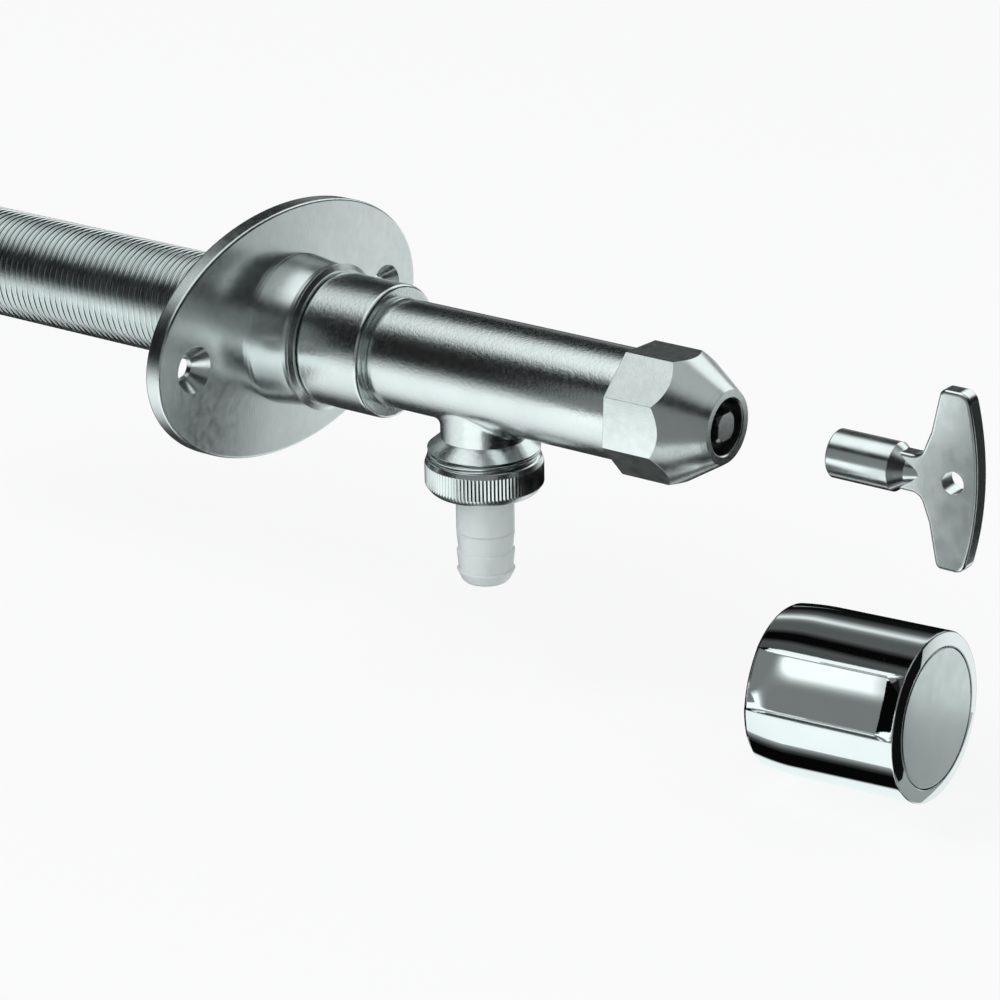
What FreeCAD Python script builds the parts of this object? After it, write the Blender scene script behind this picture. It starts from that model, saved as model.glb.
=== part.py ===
import FreeCAD, Part
import os
import re
import Sketcher

# Frost-proof outdoor wall tap with a socket key and a push-on knob
#
# Origin: the middle of the wall flange's back face, on the valve axis.
# +X runs out of the wall along the valve axis, +Z is up, the hose outlet points to -Z.
# Behind the wall face a threaded sleeve carries the valve seat, so water stays in the warm room.
# A long spindle turns in place and moves the disc carrier along X by its left-hand thread.

doc = FreeCAD.newDocument("WallTap")

# Driving dimensions in millimetres and degrees
SIZES = {
    # Oval wall flange with its hub
    "flange_width": 97.2,
    "flange_height": 59.2,
    "flange_rim": 4.0,
    "flange_rise": 1.0,
    "flange_round": 0.6,
    "face_relief": 0.6,
    "hub_length": 13.7,
    "hub_base": 18.2,
    "hub_waist": 17.1,
    "lip_radius": 17.7,
    "lip_mouth": 16.5,
    "lip_length": 2.0,
    "lip_bevel": 0.8,
    "screw_spacing": 73.0,
    "screw_hole": 5.2,
    "screw_head": 10.5,
    # Threaded sleeve through the wall
    "thread_radius": 13.22,
    "sleeve_wall": 2.2,
    "sleeve_depth": 150.0,
    "sleeve_bevel": 0.9,
    "sleeve_overlap": 16.0,
    "shank_radius": 12.9,
    "shank_start": 0.2,
    # Fits and clearances
    "slide_fit": 0.05,
    "run_fit": 0.07,
    "ring_gap": 0.3,
    "seal_squeeze": 0.02,
    "face_gap": 0.05,
    # Lock collar
    "collar_radius": 15.95,
    "collar_length": 17.65,
    "collar_round": 0.9,
    # Cast valve body
    "tube_radius": 12.9,
    "tube_length": 67.8,
    "tube_round": 0.8,
    "chamber_radius": 10.6,
    "chamber_slope": 2.0,
    "spigot_bore": 8.0,
    "front_thread": 12.0,
    "front_length": 8.0,
    "guide_bore": 10.0,
    "guide_seat": 14.0,
    "branch_at": 60.4,
    "neck_radius": 10.1,
    "neck_end": 15.6,
    "neck_blend": 2.0,
    "outlet_top": 18.2,
    "outlet_end": 24.5,
    "check_bore": 8.5,
    "check_top": 14.4,
    "port_radius": 5.5,
    # Octagonal head nut with its cone
    "nut_radius": 15.47,
    "nut_turn": 19.5,
    "flats_length": 12.3,
    "nut_length": 23.6,
    "nose_radius": 9.3,
    "nose_ring": 8.5,
    "nose_round": 1.2,
    "recess_radius": 6.5,
    "recess_bevel": 0.3,
    "cone_start": 15.6,
    "nut_thread_depth": 10.1,
    # Spindle guide and seals
    "guide_length": 16.0,
    "guide_flange": 11.7,
    "guide_flange_length": 2.0,
    "seal_groove": 2.1,
    "seal_section": 1.9,
    "seal_pitch": 5.0,
    "seal_inset": 2.5,
    # Spindle with its collar, retaining ring and square
    "spindle_radius": 4.0,
    "stop_radius": 6.0,
    "stop_length": 3.0,
    "thrust_length": 1.0,
    "clip_radius": 5.6,
    "clip_length": 1.0,
    "clip_groove": 3.3,
    "clip_start": 0.3,
    "square_size": 6.2,
    "square_start": 0.3,
    "spindle_inset": 0.3,
    "spindle_bevel": 0.65,
    "spindle_gap": 0.93,
    "drive_thread_length": 15.0,
    # Valve seat fitting at the inner end
    "fitting_inset": 1.0,
    "fitting_length": 29.0,
    "inlet_hex": 14.0,
    "inlet_depth": 6.0,
    "seat_bore": 4.5,
    "seat_inset": 11.0,
    "seat_lip": 1.0,
    "seat_land": 1.0,
    "guide_hex": 15.0,
    # Disc carrier with its washer and screw
    "carrier_hex": 14.8,
    "carrier_length": 22.0,
    "carrier_bore_depth": 15.0,
    "carrier_travel": 3.02,
    "carrier_flute": 1.5,
    "disc_radius": 5.7,
    "disc_length": 3.0,
    "cup_depth": 2.0,
    "screw_shank": 2.0,
    "screw_grip": 5.0,
    "screw_back": 0.5,
    "screw_top": 3.2,
    "screw_top_length": 2.0,
    "slot_width": 1.0,
    "slot_depth": 0.9,
    # Check valve in the outlet
    "cage_wall": 1.3,
    "cage_lip": 1.4,
    "cage_opening": 4.5,
    "cage_floor": 1.4,
    "cage_window": 2.15,
    "window_at": 4.9,
    "cage_inset": 0.2,
    "poppet_radius": 6.0,
    "poppet_rim": 1.4,
    "poppet_bevel": 0.4,
    "stem_radius": 1.2,
    "stem_length": 7.6,
    "spring_radius": 1.95,
    "spring_wire": 0.5,
    "spring_turns": 4.5,
    "spring_gap": 0.05,
    # Union nut, washer and hose tail
    "washer_length": 1.5,
    "washer_radius": 12.6,
    "washer_bore": 7.4,
    "tail_flange": 1.4,
    "tail_flange_radius": 12.4,
    "tail_bore": 4.8,
    "tail_shoulder": 7.1,
    "tail_stub": 6.85,
    "tail_valley": 6.4,
    "tail_barb": 6.85,
    "barb_first": 39.5,
    "barb_pitch": 4.65,
    "barb_step": 0.35,
    "tail_end": 51.6,
    "tail_tip": 5.7,
    "tail_tip_bevel": 0.5,
    "union_radius": 13.95,
    "union_top": 20.5,
    "union_bevel_top": 1.2,
    "union_band": 5.3,
    "union_bevel_end": 1.7,
    "union_end_radius": 12.6,
    # Socket key
    "key_at": 155.7,
    "key_barrel": 5.5,
    "key_barrel_length": 15.4,
    "key_shoulder": 3.0,
    "key_shoulder_radius": 3.4,
    "key_square": 6.5,
    "key_socket_depth": 13.0,
    "key_thick": 4.4,
    "key_length": 35.9,
    "key_half_span": 20.5,
    "key_bulge": 74.0,
    "key_neck": 4.3,
    "key_neck_end": 21.8,
    "key_wing_root": 24.2,
    "key_wing_rise": 10.4,
    "key_wing_tip": 26.3,
    "key_hole_at": 30.0,
    "key_hole": 5.3,
    "key_tip_round": 3.0,
    "key_inner_round": 1.6,
    "key_neck_round": 3.0,
    "key_edge_round": 0.8,
    "key_mouth_bevel": 0.4,
    # Push-on knob
    "knob_at": 143.9,
    "knob_side": 1.0,
    "knob_drop": 57.8,
    "knob_tilt": 2.5,
    "knob_radius": 19.45,
    "knob_back_radius": 17.6,
    "knob_taper": 9.0,
    "knob_taper_round": 40.0,
    "knob_length": 38.3,
    "knob_front_round": 1.2,
    "knob_front_fall": 0.65,
    "knob_back_round": 0.6,
    "flute_depth": 2.15,
    "flute_width": 44.5,
    "flute_turn": 63.7,
    "flute_end": 33.0,
    "flute_run": 4.4,
    "flute_rise": 2.2,
    "knob_cavity": 14.0,
    "cavity_depth": 16.0,
    "cavity_bevel": 0.8,
    "cavity_slope": 2.5,
    "hub_socket": 7.5,
    "hub_seat_depth": 6.0,
    "cap_radius": 15.8,
    "cap_depth": 2.0,
    "cap_gap": 0.25,
    "cap_round": 0.4,
    "hub_outer": 5.5,
    "hub_flange": 7.4,
    "hub_socket_depth": 13.0,
    "hub_inset": 0.5,
}

sheet = doc.addObject("Spreadsheet::Sheet", "Sizes")
for row, (alias, amount) in enumerate(SIZES.items(), 1):
    sheet.set(f"A{row}", alias)
    sheet.set(f"B{row}", str(amount))
    sheet.setAlias(f"B{row}", alias)
doc.recompute()

# Places along the valve axis, worked out from the sizes
FLANGE_FACE = "(flange_rim + flange_rise)"
HUB_FRONT = "(flange_rim + hub_length)"
COLLAR_BACK = f"({HUB_FRONT} + ring_gap)"
COLLAR_FRONT = f"({COLLAR_BACK} + collar_length)"
BODY_BACK = f"({COLLAR_FRONT} + ring_gap)"
SLEEVE_BORE = "(thread_radius - sleeve_wall)"
SLEEVE_FRONT = f"({BODY_BACK} - face_gap)"
SPIGOT_BACK = f"({BODY_BACK} - sleeve_overlap)"
NUT_BACK = f"({BODY_BACK} + tube_length)"
BODY_FRONT = f"({NUT_BACK} + front_length)"
NUT_STEP = f"({NUT_BACK} + nut_thread_depth)"
NUT_FRONT = f"({NUT_BACK} + nut_length)"
CONE_BACK = f"({NUT_BACK} + flats_length)"
GUIDE_FRONT = f"({BODY_FRONT} + guide_flange_length)"
GUIDE_BACK = f"({GUIDE_FRONT} - guide_length)"
CLIP_BACK = f"({GUIDE_FRONT} + clip_start)"
SPINDLE_FRONT = f"({NUT_FRONT} - spindle_inset)"
CLIP_FRONT = f"({CLIP_BACK} + clip_length + face_gap)"
SQUARE_BACK = f"({CLIP_FRONT} + square_start)"
STOP_FRONT = f"({GUIDE_BACK} - thrust_length - 2 * face_gap)"
FITTING_BACK = "(fitting_inset - sleeve_depth)"
FITTING_FRONT = f"({FITTING_BACK} + fitting_length)"
SPIGOT = f"({SLEEVE_BORE} - slide_fit)"
SEAT_FACE = "(seat_inset - sleeve_depth)"
DISC_BACK = f"({SEAT_FACE} + face_gap)"
DISC_FRONT = f"({DISC_BACK} + disc_length)"
CARRIER_BACK = f"({DISC_FRONT} - cup_depth)"
CARRIER_FRONT = f"({CARRIER_BACK} + carrier_length)"
SPINDLE_BACK = f"({CARRIER_FRONT} - carrier_bore_depth + carrier_travel + spindle_gap)"
SEAL_MIDDLE = f"({GUIDE_FRONT} - seal_inset - seal_section / 2)"
BODY_SEAL_MIDDLE = f"({SPIGOT_BACK} + seal_inset + seal_section / 2)"
GUIDE_SEAL_MIDDLE = f"({GUIDE_BACK} + seal_inset)"
OUTLET_SEAL_END = "(0 - outlet_end - washer_length)"
TAIL_LIP = f"({OUTLET_SEAL_END} - tail_flange)"
UNION_BAND_TOP = "(0 - union_top - union_bevel_top)"
UNION_BAND_END = f"({UNION_BAND_TOP} - union_band)"
UNION_END = f"({UNION_BAND_END} - union_bevel_end)"
CAGE_TOP = "(0 - check_top - face_gap)"
CAGE_END = "(0 - outlet_end + cage_inset)"
CAGE_LIP_END = f"({CAGE_TOP} - cage_lip)"
CAGE_FLOOR = f"({CAGE_END} + cage_floor)"
POPPET_TOP = f"({CAGE_LIP_END} - face_gap)"
POPPET_END = f"({POPPET_TOP} - poppet_rim)"


def bound(text):
    """Give every size name in an expression its sheet."""
    def with_sheet(word):
        return word.group() if word.group() in ("cos", "sin") else "Sizes." + word.group()
    return re.sub(r"[a-z][a-z_]*", with_sheet, str(text))


def new_body(label, x="0", y="0", z="0"):
    body = doc.addObject("PartDesign::Body", label)
    body.Label = label
    for axis, place in (("x", x), ("y", y), ("z", z)):
        body.setExpression("Placement.Base." + axis, bound(place))
    return body


def origin_part(body, role):
    return next(item for item in body.Origin.OriginFeatures if item.Role == role)


def new_sketch(body, role, lift=None):
    sketch = body.newObject("Sketcher::SketchObject", body.Label + "_sketch")
    sketch.AttachmentSupport = [(origin_part(body, role), "")]
    sketch.MapMode = "FlatFace"
    if lift is not None:
        sketch.setExpression("AttachmentOffset.Base.z", bound(lift))
    return sketch


def place_point(sketch, geometry, position, corner):
    """Hold a point of the sketch at a corner given by two expressions."""
    for kind, text in zip(("DistanceX", "DistanceY"), corner):
        index = sketch.addConstraint(Sketcher.Constraint(kind, -1, 1, geometry, position, 1.0))
        sketch.setExpression(f"Constraints[{index}]", bound(text))


def polygon(sketch, corners):
    """Closed outline of straight lines through the corners."""
    spread = [FreeCAD.Vector(10 + 3 * step, step * step % 7 + step, 0) for step in range(len(corners))]
    first = sketch.GeometryCount
    count = len(corners)
    for step in range(count):
        sketch.addGeometry(Part.LineSegment(spread[step], spread[(step + 1) % count]), False)
    for step in range(count):
        ahead = first + (step + 1) % count
        sketch.addConstraint(Sketcher.Constraint("Coincident", first + step, 2, ahead, 1))
    for step, corner in enumerate(corners):
        place_point(sketch, first + step, 1, corner)


def circle(sketch, centre, radius):
    index = sketch.addGeometry(Part.Circle(FreeCAD.Vector(1, 1, 0), FreeCAD.Vector(0, 0, 1), 2), False)
    place_point(sketch, index, 3, centre)
    held = sketch.addConstraint(Sketcher.Constraint("Radius", index, 2.0))
    sketch.setExpression(f"Constraints[{held}]", bound(radius))


def regular(radius, sides, turn="0"):
    """Corners of a regular polygon, the first one at the turn angle."""
    angles = [f"({turn} + {360 / sides} * {step})" for step in range(sides)]
    return [(f"{radius} * cos({angle})", f"{radius} * sin({angle})") for angle in angles]


def across_flats(width, sides):
    """Corner radius of a regular polygon of this width across its flats."""
    return f"({width} / 2 / cos({180 / sides}))"


def own_axis(sketch, start, end):
    """Construction line for a form that is spun about an axis of its own."""
    ends = (FreeCAD.Vector(1, 2, 0), FreeCAD.Vector(9, 4, 0))
    line = sketch.addGeometry(Part.LineSegment(*ends), True)
    place_point(sketch, line, 1, start)
    place_point(sketch, line, 2, end)
    return "Axis0"


def spun(body, corners, axis="H_Axis", cut=False):
    """Turned form: an outline in the XZ plane spun about X (H_Axis) or Z (V_Axis)."""
    sketch = new_sketch(body, "XZ_Plane")
    polygon(sketch, corners)
    return spin_sketch(body, sketch, axis, cut)


def spin_sketch(body, sketch, axis, cut):
    kind = "Groove" if cut else "Revolution"
    feature = body.newObject("PartDesign::" + kind, body.Label + "_turned")
    feature.Profile = sketch
    feature.ReferenceAxis = (sketch, [axis])
    feature.Angle = 360
    sketch.Visibility = False
    return feature


def pushed(body, sketch, length, cut=False, reverse=False, both=False):
    """Straight form: a sketch pushed along its normal as a pad or a pocket."""
    kind = "Pocket" if cut else "Pad"
    feature = body.newObject("PartDesign::" + kind, body.Label + "_straight")
    feature.Profile = sketch
    feature.setExpression("Length", bound(length))
    feature.Reversed = reverse
    feature.Midplane = both
    return feature


def around(body, feature, count, role="X_Axis"):
    """Repeat a feature evenly round an axis of the body."""
    pattern = body.newObject("PartDesign::PolarPattern", body.Label + "_pattern")
    pattern.Originals = [feature]
    pattern.Axis = (origin_part(body, role), [""])
    pattern.Angle = 360
    pattern.Occurrences = count
    body.Tip = pattern
    return pattern


def edge_names(feature, wanted):
    return [f"Edge{number}" for number, edge in enumerate(feature.Shape.Edges, 1) if wanted(edge)]


def softened(body, base, wanted, radius):
    """Round the edges of the last feature that the test picks."""
    doc.recompute()
    names = edge_names(base, wanted)
    if not names:
        raise RuntimeError(f"{body.Label}: no edge to soften")
    feature = body.newObject("PartDesign::Fillet", body.Label + "_edge")
    feature.Base = (base, names)
    feature.setExpression("Radius", bound(radius))
    return feature


def value(text):
    """Number that an expression of sizes has now."""
    return float(sheet.evalExpression(bound(text)))


def ring_edge(radius, middle, axis="x"):
    """Test for a round edge of this radius about the axis, at this place along it."""
    want_radius = value(radius)
    want_middle = value(middle)

    def wanted(edge):
        curve = edge.Curve
        if not isinstance(curve, Part.Circle):
            return False
        place = getattr(curve.Center, axis)
        return abs(curve.Radius - want_radius) < 0.01 and abs(place - want_middle) < 0.01
    return wanted


def tube_outline(start, end, inner, outer):
    return [(start, inner), (end, inner), (end, outer), (start, outer)]


def cut_groove(body, middle, inner, outer):
    """Groove for a seal ring, at its place along X."""
    half = "seal_groove / 2"
    spun(body, tube_outline(f"{middle} - {half}", f"{middle} + {half}", inner, outer), cut=True)


def wall_flange():
    body = new_body("wall_flange")
    outline = new_sketch(body, "YZ_Plane")
    centre = FreeCAD.Vector(0, 0, 0)
    outline.addGeometry(Part.Ellipse(centre, value("flange_width") / 2, value("flange_height") / 2), False)
    outline.exposeInternalGeometry(0)
    outline.addConstraint(Sketcher.Constraint("Coincident", 0, 3, -1, 1))
    outline.addConstraint(Sketcher.Constraint("Horizontal", 1))
    for line, size in ((1, "flange_width"), (2, "flange_height")):
        index = outline.addConstraint(Sketcher.Constraint("Distance", line, value(size)))
        outline.setExpression(f"Constraints[{index}]", bound(size))
    pushed(body, outline, FLANGE_FACE)
    # The face falls away from the hub to the ends of the oval
    reach = "(flange_width / 2)"
    spun(body, [(FLANGE_FACE, "hub_waist"), ("flange_rim", reach), (FLANGE_FACE, f"{reach} + 1")], cut=True)
    spun(body, [
        ("flange_rim / 2", "shank_radius"), ("flange_rim / 2", "hub_base"), ("flange_rim", "hub_base"),
        (f"{FLANGE_FACE} + 1", "hub_base"), (f"{HUB_FRONT} - lip_length - 1", "hub_waist"),
        (f"{HUB_FRONT} - lip_length", "hub_waist"), (f"{HUB_FRONT} - lip_bevel", "lip_radius"),
        (HUB_FRONT, "lip_mouth"), (HUB_FRONT, "shank_radius"),
    ])
    spun(body, tube_outline("0 - 1", f"{HUB_FRONT} + 1", "0", "shank_radius + slide_fit"), cut=True)
    # The thread's last turn has room in the back face
    spun(body, tube_outline("0 - 1", "face_relief", "0", "thread_radius + slide_fit"), cut=True)
    hole = new_sketch(body, "XY_Plane")
    middle = "(screw_spacing / 2)"
    polygon(hole, [
        ("0 - 1", middle), ("0 - 1", f"{middle} + screw_hole / 2"),
        ("flange_rim - (screw_head - screw_hole) / 2", f"{middle} + screw_hole / 2"),
        ("flange_rim + flange_rise", f"{middle} + screw_head / 2 + flange_rise"),
        ("flange_rim + flange_rise", middle),
    ])
    axis = own_axis(hole, ("0", middle), ("flange_rim", middle))
    cut = spin_sketch(body, hole, axis, True)
    last = around(body, cut, 2)
    half = value("flange_width") / 2 - 0.5
    side = value("flange_height") / 3

    def rim(edge):
        box = edge.BoundBox
        return box.YLength > 2 * half or (box.YMax > half and box.XLength < 1.5 and box.ZLength > side)
    softened(body, last, rim, "flange_round")


def wall_sleeve():
    body = new_body("wall_sleeve")
    # The thread ends at the wall face, where the flange seats on a plain shank
    spun(body, [
        ("0 - sleeve_depth", SLEEVE_BORE), (SLEEVE_FRONT, SLEEVE_BORE), (SLEEVE_FRONT, "shank_radius"),
        ("0 - shank_start", "shank_radius"), ("0 - shank_start", "thread_radius"),
        ("sleeve_bevel - sleeve_depth", "thread_radius"),
        ("0 - sleeve_depth", "thread_radius - sleeve_bevel"),
    ])


def lock_collar():
    body = new_body("lock_collar")
    ring = spun(body, tube_outline(COLLAR_BACK, COLLAR_FRONT, "shank_radius + slide_fit", "collar_radius"))
    doc.recompute()
    back = ring_edge("collar_radius", COLLAR_BACK)
    front = ring_edge("collar_radius", COLLAR_FRONT)
    softened(body, ring, lambda edge: back(edge) or front(edge), "collar_round")


def valve_body():
    body = new_body("valve_body")
    spun(body, [
        (SPIGOT_BACK, "0"), (SPIGOT_BACK, SPIGOT), (BODY_BACK, SPIGOT),
        (BODY_BACK, "tube_radius - tube_round"), (f"{BODY_BACK} + tube_round", "tube_radius"),
        (f"{NUT_BACK} - face_gap", "tube_radius"), (f"{NUT_BACK} - face_gap", "front_thread"),
        (BODY_FRONT, "front_thread"), (BODY_FRONT, "0"),
    ])
    # The branch flares out to the outlet thread
    branch = new_sketch(body, "XZ_Plane")
    polygon(branch, [
        ("branch_at", "0"), ("branch_at + neck_radius", "0"), ("branch_at + neck_radius", "0 - neck_end"),
        ("branch_at + thread_radius", "0 - outlet_top"), ("branch_at + thread_radius", "0 - outlet_end"),
        ("branch_at", "0 - outlet_end"),
    ])
    stem = spin_sketch(body, branch, own_axis(branch, ("branch_at", "0"), ("branch_at", "outlet_end")), False)
    doc.recompute()
    tube = value("tube_radius")
    neck = value("neck_radius")
    middle = value("branch_at")

    def joint(edge):
        """The saddle where the neck leaves the tube."""
        box = edge.BoundBox
        inside = box.XMin > middle - neck - 0.2 and box.XMax < middle + neck + 0.2
        return inside and box.ZMax < -3 and box.ZMin > -tube - 0.2 and box.ZLength > 2
    softened(body, stem, joint, "neck_blend")
    # Water way, guide seat and seal groove
    cut_groove(body, BODY_SEAL_MIDDLE, f"({SLEEVE_BORE} - seal_section)", "thread_radius")
    seat = f"({BODY_FRONT} - guide_seat)"
    spun(body, [
        (f"{SPIGOT_BACK} - 1", "0"), (f"{SPIGOT_BACK} - 1", "spigot_bore"),
        (f"{BODY_BACK} + chamber_slope", "spigot_bore"),
        (f"{BODY_BACK} + 2 * chamber_slope", "chamber_radius"),
        (seat, "chamber_radius"), (seat, "guide_bore"), (f"{BODY_FRONT} + 1", "guide_bore"),
        (f"{BODY_FRONT} + 1", "0"),
    ], cut=True)
    port = new_sketch(body, "XZ_Plane")
    polygon(port, [
        ("branch_at", "0"), ("branch_at + port_radius", "0"), ("branch_at + port_radius", "0 - check_top"),
        ("branch_at + check_bore", "0 - check_top"), ("branch_at + check_bore", "0 - outlet_end - 1"),
        ("branch_at", "0 - outlet_end - 1"),
    ])
    spin_sketch(body, port, own_axis(port, ("branch_at", "0"), ("branch_at", "outlet_end")), True)


def head_nut():
    body = new_body("head_nut")
    flats = new_sketch(body, "YZ_Plane", NUT_BACK)
    polygon(flats, regular("nut_radius", 8, "nut_turn"))
    pushed(body, flats, "nut_length")
    ring_back = f"({NUT_FRONT} - nose_round)"
    spun(body, [
        (CONE_BACK, "cone_start"), (ring_back, "nose_radius"), (NUT_FRONT, "nose_ring"),
        (f"{NUT_FRONT} + 1", "nose_ring"), (f"{NUT_FRONT} + 1", "cone_start + 2"),
        (CONE_BACK, "cone_start + 2"),
    ], cut=True)
    spun(body, [
        (f"{NUT_BACK} - 1", "0"), (f"{NUT_BACK} - 1", "front_thread + slide_fit"),
        (NUT_STEP, "front_thread + slide_fit"), (NUT_STEP, "recess_radius"),
        (f"{NUT_FRONT} - recess_bevel", "recess_radius"), (NUT_FRONT, "recess_radius + recess_bevel"),
        (f"{NUT_FRONT} + 1", "recess_radius + recess_bevel"), (f"{NUT_FRONT} + 1", "0"),
    ], cut=True)


def spindle_guide():
    body = new_body("spindle_guide")
    outer = "(guide_bore - slide_fit)"
    spun(body, [
        (GUIDE_BACK, "spindle_radius + run_fit"), (GUIDE_BACK, outer), (f"{BODY_FRONT} + face_gap", outer),
        (f"{BODY_FRONT} + face_gap", "guide_flange"), (GUIDE_FRONT, "guide_flange"),
        (GUIDE_FRONT, "spindle_radius + run_fit"),
    ])
    for turn in range(2):
        cut_groove(body, f"({SEAL_MIDDLE} - seal_pitch * {turn})", "0", "spindle_radius + seal_section")
    cut_groove(body, GUIDE_SEAL_MIDDLE, "guide_bore - seal_section", "guide_bore + 1")


def seal_ring(label, middle, inner, outer, count=1):
    """Round-section seal rings between two radii, one beside the other."""
    body = new_body(label)
    section = new_sketch(body, "XZ_Plane")
    for turn in range(count):
        circle(section, (f"{middle} - seal_pitch * {turn}", f"({inner} + {outer}) / 2"),
               f"({outer} - {inner}) / 2 - seal_squeeze")
    spin_sketch(body, section, "H_Axis", False)


def spindle():
    body = new_body("spindle")
    thread = "(spindle_radius - slide_fit)"
    thread_front = f"({SPINDLE_BACK} + drive_thread_length)"
    spun(body, [
        (SPINDLE_BACK, "0"), (SPINDLE_BACK, f"{thread} - spindle_bevel"),
        (f"{SPINDLE_BACK} + spindle_bevel", thread), (thread_front, thread), (thread_front, "spindle_radius"),
        (f"{STOP_FRONT} - stop_length", "spindle_radius"), (f"{STOP_FRONT} - stop_length", "stop_radius"),
        (STOP_FRONT, "stop_radius"), (STOP_FRONT, "spindle_radius"), (CLIP_BACK, "spindle_radius"),
        (CLIP_BACK, "clip_groove"), (CLIP_FRONT, "clip_groove"), (CLIP_FRONT, "spindle_radius"),
        (f"{SPINDLE_FRONT} - spindle_bevel", "spindle_radius"),
        (SPINDLE_FRONT, "spindle_radius - spindle_bevel"), (SPINDLE_FRONT, "0"),
    ])
    drive = new_sketch(body, "YZ_Plane", SQUARE_BACK)
    polygon(drive, regular(across_flats("square_size", 4), 4, "45"))
    circle(drive, ("0", "0"), "spindle_radius + 2")
    pushed(body, drive, f"{SPINDLE_FRONT} - {SQUARE_BACK} + 1", cut=True, reverse=True)


def thrust_washer():
    body = new_body("thrust_washer")
    spun(body, tube_outline(f"{STOP_FRONT} + face_gap", f"{GUIDE_BACK} - face_gap",
                            "spindle_radius + run_fit", "guide_bore - 1"))


def retaining_ring():
    body = new_body("retaining_ring")
    spun(body, tube_outline(f"{CLIP_BACK} + face_gap / 2", f"{CLIP_BACK} + clip_length",
                            "clip_groove + slide_fit", "clip_radius"))
    gap = new_sketch(body, "YZ_Plane", CLIP_BACK)
    half = "(clip_groove * 2 / 3)"
    polygon(gap, [
        (f"0 - {half}", "0"), (half, "0"), (half, "clip_radius + 1"), (f"0 - {half}", "clip_radius + 1"),
    ])
    pushed(body, gap, "clip_length * 2", cut=True, reverse=True)


def seat_fitting():
    body = new_body("seat_fitting")
    spun(body, tube_outline(FITTING_BACK, FITTING_FRONT, "seat_bore", SPIGOT))
    inlet = new_sketch(body, "YZ_Plane", FITTING_BACK)
    polygon(inlet, regular(across_flats("inlet_hex", 6), 6))
    pushed(body, inlet, "inlet_depth", cut=True, reverse=True)
    # The hexagonal guide stands round the raised lip of the seat
    guide = new_sketch(body, "YZ_Plane", f"{SEAT_FACE} - seat_lip")
    polygon(guide, regular(across_flats("guide_hex", 6), 6))
    circle(guide, ("0", "0"), "seat_bore + seat_land")
    pushed(body, guide, "fitting_length", cut=True, reverse=True)
    face = new_sketch(body, "YZ_Plane", SEAT_FACE)
    circle(face, ("0", "0"), "seat_bore + seat_land * 1.5")
    pushed(body, face, "fitting_length", cut=True, reverse=True)


def disc_carrier():
    body = new_body("disc_carrier")
    block = new_sketch(body, "YZ_Plane", CARRIER_BACK)
    polygon(block, regular(across_flats("carrier_hex", 6), 6))
    pushed(body, block, "carrier_length")
    bore_end = f"({CARRIER_FRONT} - carrier_bore_depth)"
    spun(body, tube_outline(bore_end, f"{CARRIER_FRONT} + 1", "0", "spindle_radius"), cut=True)
    spun(body, tube_outline(f"{CARRIER_BACK} - 1", DISC_FRONT, "0", "disc_radius + slide_fit"), cut=True)
    screw_hole = tube_outline(DISC_FRONT, f"{DISC_FRONT} + screw_grip", "0", "screw_shank + slide_fit")
    spun(body, screw_hole, cut=True)
    flute = new_sketch(body, "YZ_Plane", CARRIER_BACK)
    circle(flute, ("0", "carrier_hex / 2"), "carrier_flute")
    cut = pushed(body, flute, "carrier_length + 1", cut=True, reverse=True)
    around(body, cut, 6)


def valve_washer():
    body = new_body("valve_washer")
    spun(body, tube_outline(DISC_BACK, DISC_FRONT, "screw_shank + slide_fit", "disc_radius"))


def washer_screw():
    body = new_body("washer_screw")
    back = f"({DISC_BACK} - screw_top_length)"
    spun(body, [
        (back, "0"), (back, "screw_top - 0.5"), (f"{back} + 0.5", "screw_top"), (DISC_BACK, "screw_top"),
        (DISC_BACK, "screw_shank"), (f"{DISC_FRONT} + screw_grip - screw_back", "screw_shank"),
        (f"{DISC_FRONT} + screw_grip - screw_back", "0"),
    ])
    slot = new_sketch(body, "YZ_Plane", back)
    side = "(screw_top + 1)"
    polygon(slot, [(f"0 - {side}", "0 - slot_width / 2"), (side, "0 - slot_width / 2"),
                   (side, "slot_width / 2"), (f"0 - {side}", "slot_width / 2")])
    pushed(body, slot, "slot_depth", cut=True, reverse=True)


def check_cage():
    body = new_body("check_cage", "branch_at")
    outer = "(check_bore - slide_fit)"
    inner = f"({outer} - cage_wall)"
    spun(body, [
        ("cage_opening", CAGE_TOP), (outer, CAGE_TOP), (outer, CAGE_END), ("stem_radius + run_fit", CAGE_END),
        ("stem_radius + run_fit", CAGE_FLOOR), (inner, CAGE_FLOOR), (inner, CAGE_LIP_END),
        ("cage_opening", CAGE_LIP_END),
    ], axis="V_Axis")
    window = new_sketch(body, "XY_Plane", f"{CAGE_FLOOR} + 0.5")
    circle(window, ("window_at", "0"), "cage_window")
    cut = pushed(body, window, "cage_floor + 2", cut=True)
    around(body, cut, 4, "Z_Axis")


def check_poppet():
    body = new_body("check_poppet", "branch_at")
    stem_end = f"({POPPET_END} - stem_length)"
    spun(body, [
        ("0", POPPET_TOP), ("poppet_radius", POPPET_TOP),
        ("poppet_radius", f"{POPPET_END} + poppet_bevel"), ("poppet_radius - poppet_bevel", POPPET_END),
        ("stem_radius", POPPET_END), ("stem_radius", f"{stem_end} + poppet_bevel"),
        ("stem_radius - poppet_bevel", stem_end), ("0", stem_end),
    ], axis="V_Axis")


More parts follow.
